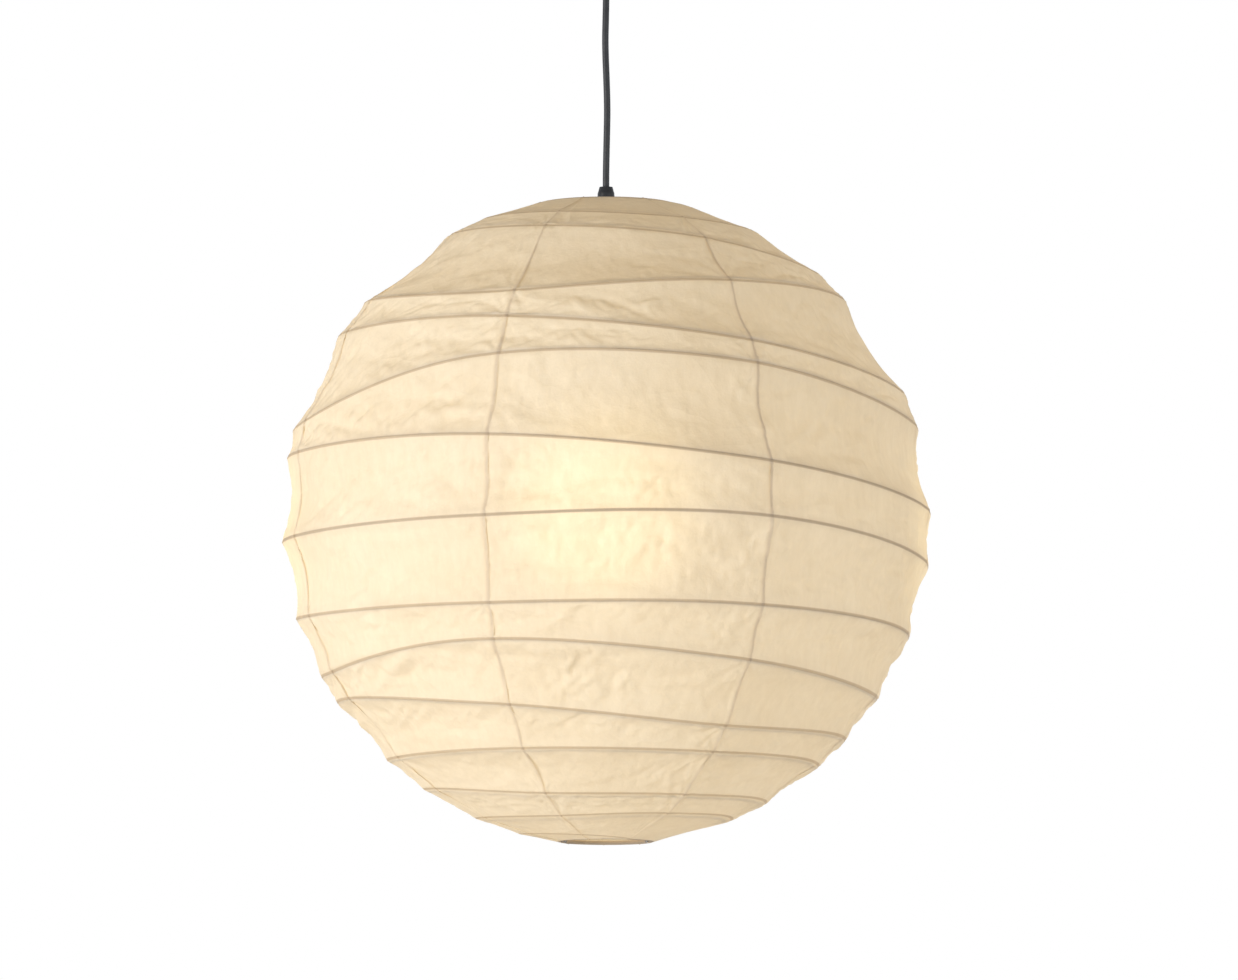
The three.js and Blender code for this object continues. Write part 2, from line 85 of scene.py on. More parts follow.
# ---------- driving dimensions, read from the frame where it holds them ----------
BALL_RADIUS = 275 * MM
TOP_OPENING = 58 * MM
BOTTOM_OPENING = 39 * MM
GORES = 7
FIRST_SEAM = -21.5  # degrees round from the front
TOP_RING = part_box("top_ring")
TOP_EDGE = math.sqrt(BALL_RADIUS**2 - TOP_OPENING**2)
BOTTOM_EDGE = -math.sqrt(BALL_RADIUS**2 - BOTTOM_OPENING**2)
BALL_Z = (TOP_RING[0].z + TOP_RING[1].z) / 2 - TOP_EDGE + 2.1 * MM

# The bamboo spiral, turn by turn from the top: heights above the ball's centre in
# millimetres, at four stations round the front. They were not chosen by hand: a program
# worked them out from points read along the ribs, and they were then corrected.
STATIONS = [-80, -25, 25, 80]
TURNS = [
    [254, 251, 246, 243],
    [240, 236, 227, 206],
    [182, 173, 184, 185],
    [154, 151, 133, 105],
    [75, 116, 113, 78],
    [51, 49, 30, 6],
    [-20, -19, -17, -38],
    [-86, -90, -90, -98],
    [-134, -119, -133, -151],
    [-155, -170, -186, -186],
    [-204, -205, -207, -208],
    [-229, -239, -240, -239],
    [-253, -256, -254, -253],
]
SPIRAL_START = (-0.7, 263.5)
SPIRAL_END = (12.8, -266.5)
SPLICES = [1.35, 2.5, 3.4, 4.3, 5.15, 5.75, 6.6, 7.35, 7.99, 8.7, 9.6, 10.6]


def scene_object(name, data):
    piece = bpy.data.objects.new(name, data)
    bpy.context.scene.collection.objects.link(piece)
    return piece


def body_of_node(node):
    bodies = frame["record"]["behaviour"]["bodies"]
    return next(body for body, nodes in bodies.items() if node in nodes)


# ---------- camera ----------
VIEW_WIDTH = 1.047  # how much of the lantern's plane the picture takes in
VIEW_CENTRE = Vector((0.011, 0, BALL_Z + 0.026))
CAMERA_DISTANCE = 9.0
CAMERA_BELOW = math.radians(5.5)


def make_camera():
    data = bpy.data.cameras.new("camera")
    data.sensor_width = 36
    data.lens = data.sensor_width * CAMERA_DISTANCE / VIEW_WIDTH
    data.clip_end = 100
    camera = scene_object("camera", data)
    towards = Vector((0, -math.cos(CAMERA_BELOW), -math.sin(CAMERA_BELOW)))
    camera.location = VIEW_CENTRE + towards * CAMERA_DISTANCE
    camera.rotation_euler = (-towards).to_track_quat("-Z", "Y").to_euler()
    bpy.context.scene.camera = camera


make_camera()

# ---------- suspension cord ----------
CORD_RADIUS = 2.8 * MM
CORD_ROUTE = [
    (0, 0, -0.044),
    (0, 0, -0.060),
    (-0.0003, 0, -0.076),
    (-0.0006, 0, -0.092),
    (-0.0003, 0, -0.108),
    (0.0003, 0, -0.124),
    (0.0008, 0, -0.140),
    (0.001, 0, -0.154),
    (0.0008, 0, -0.168),
    (0.0005, 0, -0.182),
    (0.0002, 0, -0.196),
    (0, 0, -0.209),
    (0, 0, -0.220),
]


def tube(name, centres, radius, sides=20):
    """A closed round tube along a line of points."""
    points, faces = [], []
    for i, centre in enumerate(centres):
        along = (centres[min(i + 1, len(centres) - 1)] - centres[max(i - 1, 0)]).normalized()
        across = along.cross(Vector((0, 1, 0))).normalized()
        beside = along.cross(across)
        for side in range(sides):
            angle = TAU * side / sides
            points.append(centre + (across * math.cos(angle) + beside * math.sin(angle)) * radius)
    for i in range(len(centres) - 1):
        for side in range(sides):
            a, b = i * sides + side, i * sides + (side + 1) % sides
            faces.append((a, b, b + sides, a + sides))
    last = (len(centres) - 1) * sides
    faces += [tuple(reversed(range(sides))), tuple(last + side for side in range(sides))]
    mesh = bpy.data.meshes.new(name)
    mesh.from_pydata(points, [], faces)
    tidy = bmesh.new()
    tidy.from_mesh(mesh)
    bmesh.ops.recalc_face_normals(tidy, faces=tidy.faces)
    tidy.to_mesh(mesh)
    tidy.free()
    mesh.shade_smooth()
    mesh.set_sharp_from_angle(angle=math.radians(60))
    return scene_object(name, mesh)


def smooth_line(points, parts=6):
    """More points along a gently bending line, on a smooth curve through the given ones."""
    points = [Vector(point) for point in points]
    last = len(points) - 1
    line = []
    for i in range(last):
        a, b = points[i], points[i + 1]
        leave = (b - points[max(i - 1, 0)]) / 2
        arrive = (points[min(i + 2, last)] - a) / 2
        for part in range(parts):
            t = part / parts
            place = a + (b - a) * (3 - 2 * t) * t * t
            line.append(place + leave * t * (1 - t) ** 2 - arrive * t * t * (1 - t))
    return line + [points[last]]


CORD_LINE = smooth_line(reversed(CORD_ROUTE))


def make_cord():
    piece = tube("black_cord", CORD_LINE, CORD_RADIUS)
    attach(piece, "cord")
    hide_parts("suspension_cord")
    return piece


cord = make_cord()


# ---------- the bamboo spiral's height ----------
def spiral_knots():
    knots = [(-1.0, TOP_EDGE / MM), SPIRAL_START]
    for turn, heights in enumerate(TURNS):
        knots += [(turn + station / 360, height) for station, height in zip(STATIONS, heights)]
    return knots + [SPIRAL_END, (13.1, BOTTOM_EDGE / MM)]


KNOTS = spiral_knots()


def knot_slope(k):
    before, after = KNOTS[max(k - 1, 0)], KNOTS[min(k + 1, len(KNOTS) - 1)]
    return (after[1] - before[1]) / (after[0] - before[0])


def spiral_height(turn):
    """Height above the ball's centre at a place counted in turns: a smooth curve through KNOTS."""
    if turn <= KNOTS[0][0]:
        return TOP_EDGE
    if turn >= KNOTS[-1][0]:
        return BOTTOM_EDGE
    following = next(k for k, knot in enumerate(KNOTS) if knot[0] > turn)
    (start, low), (stop, high) = KNOTS[following - 1], KNOTS[following]
    span = stop - start
    t = (turn - start) / span
    rise = (3 - 2 * t) * t * t
    leave = t * (1 - t) ** 2 * span * knot_slope(following - 1)
    arrive = -t * t * (1 - t) * span * knot_slope(following)
    return (low + rise * (high - low) + leave + arrive) * MM


def round_from_front(radius, degrees, height):
    angle = math.radians(degrees)
    return Vector((radius * math.sin(angle), -radius * math.cos(angle), BALL_Z + height))


# ---------- paper ----------
COLUMNS = 112
BAND_ROWS = 24
SEAM_LAP = 3 * MM  # how far each panel is pasted over the next
SEAM_WANDER = 2.2 * MM
ON_RIB = 0.9 * MM  # half the width where the paper lies on the bamboo
SAG = 0.085  # how far a band draws in, as a share of its height
TIGHT_RADIUS = 200 * MM  # bands narrower than this, near the openings, sag less and less
PAPER_STEP = 0.35 * MM  # how far the upper paper lies outside the lower one at a seam
HEM_RADIUS = 2.1 * MM  # of the paper rolled round a ring wire
HEM_STEPS = 7
OPEN_EDGE = 30 * MM  # near the openings the paper is pulled smooth
PULL_REACH = 26 * MM  # how far creases fan out from where a seam crosses a rib
GORE_WIDTH = TAU * BALL_RADIUS / GORES
LAP_SHARE = SEAM_LAP / GORE_WIDTH


def seam_wander(seam, height):
    """How far a seam strays from its meridian, in degrees."""
    stray = noise.noise(Vector((seam % GORES * 7.3, height * 9, 0.5)))
    stray += 0.4 * noise.noise(Vector((seam % GORES * 7.3, height * 30, 4.5)))
    radius = math.sqrt(BALL_RADIUS**2 - height**2)
    return math.degrees(stray * SEAM_WANDER * 2 / radius)


def azimuth_at(gore, across, height):
    """Degrees round from the front, at a share of the way across a gore."""
    base = FIRST_SEAM + (gore + across) * 360 / GORES
    left, right = seam_wander(gore, height), seam_wander(gore + 1, height)
    share = min(max(across, 0), 1)
    return base + left * (1 - share) + right * share


def rib_levels(gore, across):
    """Turn and height of every rib down one column, between the two edges of the paper."""
    levels = [(-2.0, TOP_EDGE)]
    for k in range(-1, 14):
        height = spiral_height(k + azimuth_at(gore, across, 0) / 360)
        turn = k + azimuth_at(gore, across, height) / 360
        levels.append((turn, spiral_height(turn)))
    return levels + [(14.0, BOTTOM_EDGE)]


def rib_radius(turn, height):
    """Horizontal radius of the paper over the bamboo, which is a little uneven."""
    uneven = 1.5 * MM * noise.noise(Vector((turn * 2.3, 8.1, 0)))
    return math.sqrt(max(BALL_RADIUS**2 - height**2, 0)) + min(uneven, 0.6 * MM) - 0.3 * MM


def band_stations(length):
    """Distances down a band where its rows lie, closest together at the ribs."""
    edge = min(ON_RIB, length / 8)
    soft = min(2 * ON_RIB, length / 5)
    inner = BAND_ROWS - 4
    middle = [soft + (length - 2 * soft) * i / inner for i in range(inner + 1)]
    return [0, edge] + middle + [length - edge, length]


def pulls(across, height, crossings):
    """Creases that fan out from the places where a seam crosses a rib."""
    lift = 0
    for seam, heights in crossings.items():
        sideways = (across - seam) * GORE_WIDTH * math.sqrt(1 - (height / BALL_RADIUS) ** 2)
        if abs(sideways) > 3 * PULL_REACH:
            continue
        for place in heights:
            upward = height - place
            distance = math.hypot(sideways, upward)
            if distance > 3 * PULL_REACH or distance < 0.5 * MM:
                continue
            angle = math.atan2(upward, sideways)
            fan = noise.noise(Vector((math.cos(angle) * 2.6, math.sin(angle) * 2.6, place * 37 + seam * 5)))
            fan = 1 - 2.6 * abs(fan)
            fade = math.exp(-distance / PULL_REACH) * min(distance / (6 * MM), 1)
            lift += 1.3 * MM * fan * fade
    return lift


def facets(place):
    """Noise with flat sides and sharp crests, like paper that has been crumpled and smoothed."""
    bend = noise.noise(place * 0.7) * 0.7
    return abs(noise.noise(place + Vector((bend, -bend, bend)))) * 2 - 0.3


def crumple(point, down, edge):
    """Cockles and creases of the open paper, which mostly run the way the bamboo does."""
    flat = Vector((point.x, point.y, down))
    level = Vector((point.x * 14, point.y * 14, down * 46))
    slanting = Vector((point.x * 36 + down * 26, point.y * 36 - down * 26, down * 36))
    worn = min(max(0.85 + 1.1 * noise.noise(flat * 9 + Vector((3, 1, 4))), 0.5), 1.3)
    creases = 2.2 * facets(level) + 2.1 * facets(slanting) + 1.3 * facets(flat * 85)
    return MM * (1.6 * noise.noise(flat * 15) + worn * creases) * (1 - edge)


def sag_at(across):
    """How much a band draws in: less at the stiff double paper of a seam."""
    to_seam = min(abs(across), abs(1 - across)) * GORE_WIDTH
    return SAG * (1 - 0.25 * math.exp(-to_seam / (15 * MM)))


def gore_column(levels, slack):
    """Points down one column of a gore, each with its rib mark and how close it is to a rib."""
    column = []
    for (turn_a, high), (turn_b, low) in zip(levels, levels[1:]):
        upper = Vector((rib_radius(turn_a, high), high))
        lower = Vector((rib_radius(turn_b, low), low))
        length = (upper - lower).length
        if length < 0.1 * MM:
            column += [(upper, 0.0, 1.0)] * len(band_stations(1))
            continue
        along = (lower - upper) / length
        inward = Vector((along.y, -along.x))
        drop = slack * (1 + 0.5 * noise.noise(Vector((turn_a * 3, 2.2, 0))))
        drop *= min((upper.x + lower.x) / 2 / TIGHT_RADIUS, 1) ** 2
        for distance in band_stations(length):
            share = distance / length
            drawn = drop * length * 4 * share * (1 - share)
            near = min(distance, length - distance)
            # the rib mark is where the paper material paints the bamboo's shadow
            mark = 1.0 if near < ON_RIB * 1.01 else 0.0
            column.append((upper + along * distance + inward * drawn, mark, math.exp(-near / (8 * MM))))
    return column


def hem(ring_radius, edge_height, upward):
    """The paper's edge rolled round a ring wire, from its outer face in over the wire."""
    rolled = []
    for step in range(1, HEM_STEPS + 1):
        angle = math.radians(130) * step / HEM_STEPS
        inward = -HEM_RADIUS * math.sin(angle)
        drop = HEM_RADIUS * (1 - math.cos(angle))
        rolled.append((Vector((ring_radius + inward, edge_height - upward * drop)), 1.0, 1.0))
    return rolled


def hemmed(column):
    top = hem(TOP_OPENING, TOP_EDGE, 1)
    return list(reversed(top)) + column + hem(BOTTOM_OPENING, BOTTOM_EDGE, -1)


def column_shares():
    """How far across a gore each column stands: closest together over the pasted laps."""
    inner = [LAP_SHARE + (1 - 2 * LAP_SHARE) * i / COLUMNS for i in range(COLUMNS + 1)]
    return [0, LAP_SHARE / 2] + inner + [1, 1 + LAP_SHARE / 2, 1 + LAP_SHARE]


def make_gore(gore):
    shares = column_shares()
    crossings = {side: [height for _, height in rib_levels(gore, side)] for side in (0, 1)}
    grid = [hemmed(gore_column(rib_levels(gore, share), sag_at(share))) for share in shares]
    stride, rows = len(shares), len(grid[0])
    points, marks = [], {"rib": [], "lap": [], "seam": []}
    for row in range(rows):
        for share, column in zip(shares, grid):
            (radius, height), rib, edge = column[row]
            point = round_from_front(radius, azimuth_at(gore, share, height), height)
            normal = Vector((point.x, point.y, height)).normalized()
            seam = math.exp(-min(abs(share), abs(1 - share)) * TAU * radius / GORES / (9 * MM))
            down = BALL_RADIUS * math.acos(min(height / BALL_RADIUS, 1))
            lift = crumple(point, down, edge) * (1 - 0.5 * seam) + pulls(share, height, crossings)
            lift *= min(radius / BALL_RADIUS * 1.15, 1)
            to_opening = min(TOP_EDGE - height, height - BOTTOM_EDGE, radius - TOP_OPENING / 2)
            lift *= (1 - rib) * min(max(to_opening / OPEN_EDGE, 0), 1)
            lift += PAPER_STEP * min(max((share - 1 + LAP_SHARE) / LAP_SHARE, 0), 1)
            points.append(point + normal * lift)
            marks["rib"].append(rib)
            # the lap mark is where the paper material paints the shade of the double paper
            marks["lap"].append(1.0 if share < LAP_SHARE or share > 1 - LAP_SHARE / 4 else 0.0)
            marks["seam"].append(seam)
    faces = [
        ((row + 1) * stride + i, (row + 1) * stride + i + 1, row * stride + i + 1, row * stride + i)
        for row in range(rows - 1)
        for i in range(stride - 1)
    ]
    mesh = bpy.data.meshes.new(f"paper_panel_{gore + 1}")
    mesh.from_pydata(points, [], faces)
    for name, values in marks.items():
        mesh.attributes.new(name, "FLOAT", "POINT").data.foreach_set("value", values)
    tidy = bmesh.new()
    tidy.from_mesh(mesh)
    bmesh.ops.remove_doubles(tidy, verts=tidy.verts, dist=0.02 * MM)
    bmesh.ops.dissolve_degenerate(tidy, edges=tidy.edges, dist=0.01 * MM)
    tidy.to_mesh(mesh)
    tidy.free()
    mesh.shade_smooth()
    return scene_object(mesh.name, mesh)


# ---------- hardware ----------
CORNER = math.radians(35)  # an outline turns sharper than this only at a real corner
TURNED_NODES = [
    "ceiling_cup",
    "outlet_grip",
    "grip_cap",
    "grip_bush",
    "bridge_plate",
    "holder_nipple",
    "holder_dome",
    "holder_skirt",
    "shade_ring",
    "screw_shell",
    "bulb_glass",
    "bulb_cap",
    "top_ring",
    "bottom_ring",
]


def node_outline(node):
    """The closed radius and height outline of a turned node, cut through its front."""
    mesh = frame["nodes"][node].data
    cut = {}
    for vertex in mesh.vertices:
        if abs(vertex.co.x) < 1e-6 and vertex.co.y < 1e-6:
            cut[vertex.index] = (round(-vertex.co.y, 6), round(vertex.co.z, 6))
    beside = {}
    for edge in mesh.edges:
        if edge.vertices[0] in cut and edge.vertices[1] in cut:
            first, second = (cut[index] for index in edge.vertices)
            if first != second:
                beside.setdefault(first, set()).add(second)
                beside.setdefault(second, set()).add(first)
    start = max(beside)
    outline = [start]
    while True:
        onward = [point for point in sorted(beside[outline[-1]]) if point not in outline]
        if not onward:
            return [Vector(point) for point in outline]
        outline.append(onward[0])


def rounded_outline(outline, parts=5):
    """The same outline with its gentle bends made smooth and its corners kept."""
    count = len(outline)

    def bend(i):
        before = outline[i] - outline[i - 1]
        after = outline[(i + 1) % count] - outline[i]
        return abs(before.angle_signed(after))

    smooth = []
    for i in range(count):
        a, b = outline[i], outline[(i + 1) % count]
        smooth.append(a)
        if bend(i) > CORNER or bend((i + 1) % count) > CORNER:
            continue
        before, after = outline[i - 1], outline[(i + 2) % count]
        for part in range(1, parts):
            t = part / parts
            pull = (b - before) * t * (1 - t) ** 2 - (after - a) * t * t * (1 - t)
            smooth.append(a + (b - a) * (3 - 2 * t) * t * t + pull * 0.5)
    return smooth


def turned_piece(name, outline, segments=72):
    points = [
        (radius * math.cos(TAU * i / segments), radius * math.sin(TAU * i / segments), height)
        for radius, height in outline
        for i in range(segments)
    ]
    faces = []
    for row in range(len(outline)):
        following = (row + 1) % len(outline)
        for i in range(segments):
            j = (i + 1) % segments
            a, b = row * segments, following * segments
            faces.append((a + i, a + j, b + j, b + i))
    mesh = bpy.data.meshes.new(name)
    mesh.from_pydata(points, [], faces)
    tidy = bmesh.new()
    tidy.from_mesh(mesh)
    bmesh.ops.remove_doubles(tidy, verts=tidy.verts, dist=1e-6)
    bmesh.ops.recalc_face_normals(tidy, faces=tidy.faces)
    tidy.to_mesh(mesh)
    tidy.free()
    mesh.shade_smooth()
    mesh.set_sharp_from_angle(angle=CORNER)
    return scene_object(name, mesh)


# ---------- bamboo ----------
RIB_WIDTH = 2.4 * MM
RIB_DEPTH = 1.6 * MM
RIB_RADIUS = 272 * MM
RIB_STEPS = 72  # per turn
RIB_SIDES = 10


def bamboo_strip(number, start, stop):
    """One split-bamboo strip of the spiral, its edges rounded over and its ends cut square."""
    steps = math.ceil((stop - start) * RIB_STEPS)
    points = []
    for step in range(steps + 1):
        turn = start + (stop - start) * step / steps
        height = spiral_height(turn)
        radius = math.sqrt(RIB_RADIUS**2 - height**2) - RIB_DEPTH / 2
        knot = 1 + 0.12 * noise.noise(Vector((turn * 11, number, 0)))
        for side in range(RIB_SIDES):
            angle = TAU * side / RIB_SIDES
            across = math.copysign(abs(math.sin(angle)) ** 0.6, math.sin(angle)) * RIB_WIDTH / 2 * knot
            inward = math.copysign(abs(math.cos(angle)) ** 0.6, math.cos(angle)) * RIB_DEPTH / 2
            points.append(round_from_front(radius - inward, turn * 360, height + across))
    faces = [tuple(reversed(range(RIB_SIDES))), tuple(steps * RIB_SIDES + side for side in range(RIB_SIDES))]
    for step in range(steps):
        for side in range(RIB_SIDES):
            a, b = step * RIB_SIDES + side, step * RIB_SIDES + (side + 1) % RIB_SIDES
            faces.append((a, b, b + RIB_SIDES, a + RIB_SIDES))
    mesh = bpy.data.meshes.new(f"bamboo_strip_{number:02d}")
    mesh.from_pydata(points, [], faces)
    tidy = bmesh.new()
    tidy.from_mesh(mesh)
    bmesh.ops.recalc_face_normals(tidy, faces=tidy.faces)
    tidy.to_mesh(mesh)
    tidy.free()
    mesh.shade_smooth()
    mesh.set_sharp_from_angle(angle=math.radians(60))
    return scene_object(mesh.name, mesh)


# ---------- materials ----------
class Material:
    """A node material under construction."""

    def __init__(self, name):
        self.material = bpy.data.materials.new(name)
        self.material.use_nodes = True
        self.nodes = self.material.node_tree.nodes
        self.links = self.material.node_tree.links
        self.shader = self.nodes["Principled BSDF"]
        self.output = self.nodes["Material Output"]

    def node(self, kind, **values):
        made = self.nodes.new(kind)
        for name, value in values.items():
            if name in made.inputs:
                made.inputs[name].default_value = value
            else:
                setattr(made, name, value)
        return made

    def link(self, source, target):
        self.links.new(source, target)

    def noise(self, scale, detail=4, roughness=0.6, stretch=(1, 1, 1)):
        coordinates = self.node("ShaderNodeTexCoord")
        mapping = self.node("ShaderNodeMapping")
        mapping.inputs["Scale"].default_value = stretch
        texture = self.node("ShaderNodeTexNoise", Scale=scale, Detail=detail, Roughness=roughness)
        self.link(coordinates.outputs["Object"], mapping.inputs["Vector"])
        self.link(mapping.outputs["Vector"], texture.inputs["Vector"])
        return texture.outputs["Fac"]

    def creases(self, scale, stretch=(1, 1, 1)):
        """Flat facets that meet in sharp crooked folds, like crumpled paper pressed flat."""
        coordinates = self.node("ShaderNodeTexCoord")
        bend = self.node("ShaderNodeTexNoise", Scale=9, Detail=3)
        shift = self.node("ShaderNodeVectorMath", operation="SCALE", Scale=0.09)
        place = self.node("ShaderNodeVectorMath", operation="ADD")
        mapping = self.node("ShaderNodeMapping")
        mapping.inputs["Scale"].default_value = stretch
        cells = self.node("ShaderNodeTexVoronoi", Scale=scale, feature="F1")
        self.link(coordinates.outputs["Object"], bend.inputs["Vector"])
        self.link(bend.outputs["Color"], shift.inputs[0])
        self.link(coordinates.outputs["Object"], place.inputs[0])
        self.link(shift.outputs[0], place.inputs[1])
        self.link(place.outputs[0], mapping.inputs["Vector"])
        self.link(mapping.outputs["Vector"], cells.inputs["Vector"])
        return cells.outputs["Distance"]

    def ramp(self, source, *stops):
        made = self.node("ShaderNodeValToRGB")
        ramp = made.color_ramp
        while len(ramp.elements) < len(stops):
            ramp.elements.new(0.5)
        for element, (place, colour) in zip(ramp.elements, stops):
            element.position = place
            element.color = (*colour, 1)
        self.link(source, made.inputs["Fac"])
        return made.outputs["Color"]

    def scaled(self, source, low, high, from_low=0.3, from_high=0.7):
        made = self.node("ShaderNodeMapRange")
        made.inputs["From Min"].default_value = from_low
        made.inputs["From Max"].default_value = from_high
        made.inputs["To Min"].default_value = low
        made.inputs["To Max"].default_value = high
        self.link(source, made.inputs["Value"])
        return made.outputs["Result"]

    def mixed(self, share, first, second, blend="MIX"):
        made = self.node("ShaderNodeMix", data_type="RGBA", blend_type=blend)
        for socket, value in ((made.inputs[0], share), (made.inputs[6], first), (made.inputs[7], second)):
            if isinstance(value, bpy.types.NodeSocket):
                self.link(value, socket)
            else:
                socket.default_value = (*value, 1) if isinstance(value, tuple) else value
        return made.outputs[2]

    def bump(self, source, strength, distance):
        made = self.node("ShaderNodeBump", Strength=strength, Distance=distance)
        self.link(source, made.inputs["Height"])
        self.link(made.outputs["Normal"], self.shader.inputs["Normal"])
        return made.outputs["Normal"]


def paper_material():
    made = Material("washi_paper")
    rib = made.node("ShaderNodeAttribute", attribute_name="rib").outputs["Fac"]
    lap = made.node("ShaderNodeAttribute", attribute_name="lap").outputs["Fac"]
    cloud = made.noise(9, detail=3)
    fibre = made.noise(140, detail=6, roughness=0.7, stretch=(1, 1, 0.3))
    tone = made.ramp(cloud, (0.3, (0.83, 0.745, 0.59)), (0.7, (0.87, 0.795, 0.65)))
    grain = made.ramp(fibre, (0.3, (0.94, 0.93, 0.91)), (0.7, (1, 1, 1)))
    colour = made.mixed(1.0, tone, grain, "MULTIPLY")
    # Painted shade: the pasted laps are darkened, where less of the bulb's light gets through the double
    # paper
    colour = made.mixed(made.scaled(lap, 0, 0.2, 0, 1), colour, (0.62, 0.49, 0.33))
    # Painted shadow: a brown line where the paper lies on the bamboo, standing for the bamboo showing through
    # the paper and the shadow it casts on it
    colour = made.mixed(made.scaled(rib, 0, 0.54, 0, 1), colour, (0.42, 0.30, 0.18))
    made.link(colour, made.shader.inputs["Base Color"])
    made.shader.inputs["Roughness"].default_value = 0.75
    made.shader.inputs["Specular IOR Level"].default_value = 0.25
    height = made.mixed(0.5, made.noise(260, detail=5), made.noise(48, detail=5, stretch=(1, 1, 0.6)))
    height = made.mixed(0.75, height, made.creases(17, stretch=(1, 1, 2.4)))
    normal = made.bump(height, 0.6, 0.0045)
    through = made.node("ShaderNodeBsdfTranslucent")
    lit = made.mixed(1.0, colour, (1.0, 0.93, 0.80), "MULTIPLY")
    made.link(lit, through.inputs["Color"])
    made.link(normal, through.inputs["Normal"])
    blend = made.node("ShaderNodeMixShader")
    blend.inputs[0].default_value = 0.45
    made.link(made.shader.outputs[0], blend.inputs[1])
    made.link(through.outputs[0], blend.inputs[2])
    made.link(blend.outputs[0], made.output.inputs["Surface"])
    return made.material


def plastic_material():
    """Moulded black plastic: a fine spark-eroded grain and a soft shine."""
    made = Material("black_plastic")
    tone = made.ramp(made.noise(60, detail=3), (0.3, (0.012, 0.012, 0.013)), (0.7, (0.02, 0.02, 0.021)))
    made.link(tone, made.shader.inputs["Base Color"])
    made.link(made.scaled(made.noise(300), 0.34, 0.48), made.shader.inputs["Roughness"])
    made.bump(made.noise(2600, detail=2), 0.25, 0.00008)
    return made.material


def cord_material():
    """Black flexible sleeve, slightly matt, with faint ripples from its making."""
    made = Material("cord_jacket")
    tone = made.ramp(made.noise(90, detail=3), (0.3, (0.010, 0.010, 0.011)), (0.7, (0.022, 0.022, 0.023)))
    made.link(tone, made.shader.inputs["Base Color"])
    made.link(made.scaled(made.noise(240), 0.38, 0.55), made.shader.inputs["Roughness"])
    made.bump(made.noise(420, detail=4, stretch=(1, 1, 0.35)), 0.3, 0.0002)
    return made.material


def metal_material(name, light, dark, roughness):
    """Plated or bare metal, with cloudy dullness and fine drawing scratches along it."""
    made = Material(name)
    tone = made.ramp(made.noise(45, detail=5), (0.25, dark), (0.7, light))
    made.link(tone, made.shader.inputs["Base Color"])
    made.shader.inputs["Metallic"].default_value = 1
    dullness = made.scaled(made.noise(130, detail=5), roughness, roughness + 0.2)
    made.link(dullness, made.shader.inputs["Roughness"])
    made.bump(made.noise(900, detail=3, stretch=(1, 1, 0.1)), 0.12, 0.0001)
    return made.material


def ceramic_material():
    made = Material("ceramic_white")
    tone = made.ramp(made.noise(70, detail=4), (0.3, (0.72, 0.69, 0.63)), (0.7, (0.82, 0.80, 0.75)))
    made.link(tone, made.shader.inputs["Base Color"])
    made.link(made.scaled(made.noise(200), 0.25, 0.4), made.shader.inputs["Roughness"])
    made.bump(made.noise(500, detail=2), 0.1, 0.0001)
    return made.material


def bulb_material():
    """Lit opal glass: a warm glow that varies a little at random, under a smooth gloss."""
    made = Material("opal_glass")
    cloud = made.noise(12, detail=2)
    tone = made.ramp(cloud, (0.3, (0.48, 0.43, 0.33)), (0.7, (0.54, 0.49, 0.39)))
    glow = made.ramp(cloud, (0.3, (1.0, 0.78, 0.45)), (0.7, (1.0, 0.84, 0.54)))
    made.link(tone, made.shader.inputs["Base Color"])
    made.link(glow, made.shader.inputs["Emission Color"])
    made.shader.inputs["Emission Strength"].default_value = 0.7
    made.shader.inputs["Roughness"].default_value = 0.18
    made.bump(made.noise(25, detail=2), 0.05, 0.0003)
    return made.material


def bamboo_material():
    """Split bamboo: long pale fibres with darker streaks, and a shine that varies along the fibres."""
    made = Material("split_bamboo")
    fibre = made.noise(300, detail=6, roughness=0.7, stretch=(0.15, 0.15, 3))
    tone = made.ramp(fibre, (0.25, (0.24, 0.15, 0.07)), (0.5, (0.42, 0.29, 0.15)), (0.75, (0.55, 0.41, 0.24)))
    made.link(tone, made.shader.inputs["Base Color"])
    made.link(made.scaled(fibre, 0.5, 0.7), made.shader.inputs["Roughness"])
    made.bump(fibre, 0.4, 0.0003)
    return made.material


def bound_wire_material():
    """Ring wire wound with narrow paper tape, browned by paste."""
    made = Material("bound_wire")
    wrap = made.noise(240, detail=3, stretch=(1, 1, 2))
    tone = made.ramp(wrap, (0.3, (0.40, 0.27, 0.16)), (0.7, (0.58, 0.43, 0.28)))
    made.link(tone, made.shader.inputs["Base Color"])
    made.link(made.scaled(made.noise(120), 0.55, 0.8), made.shader.inputs["Roughness"])
    made.bump(wrap, 0.5, 0.0004)
    return made.material


MATERIALS = {
    "black_plastic": plastic_material(),
    "zinc_steel": metal_material("zinc_steel", (0.62, 0.63, 0.65), (0.42, 0.43, 0.45), 0.28),
    "ceramic_white": ceramic_material(),
    "cord_jacket": cord_material(),
    "frame_wire": metal_material("frame_wire", (0.30, 0.28, 0.26), (0.18, 0.17, 0.16), 0.42),
    "contact_brass": metal_material("contact_brass", (0.78, 0.57, 0.24), (0.60, 0.42, 0.16), 0.25),
    "opal_glass": bulb_material(),
    "bulb_metal": metal_material("bulb_metal", (0.78, 0.79, 0.80), (0.60, 0.61, 0.62), 0.2),
    "bound_wire": bound_wire_material(),
    "split_bamboo": bamboo_material(),
    "washi_paper": paper_material(),
}
SLOT_OF_NODE = {part["node"]: part["material_slot"] for part in frame["record"]["subparts"]}


def finish_as(piece, body, slot, *nodes):
    """Gives a piece its material, the body it moves with and the nodes that it stands for."""
    piece.data.materials.append(MATERIALS[slot])
    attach(piece, body)
    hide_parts(*nodes)


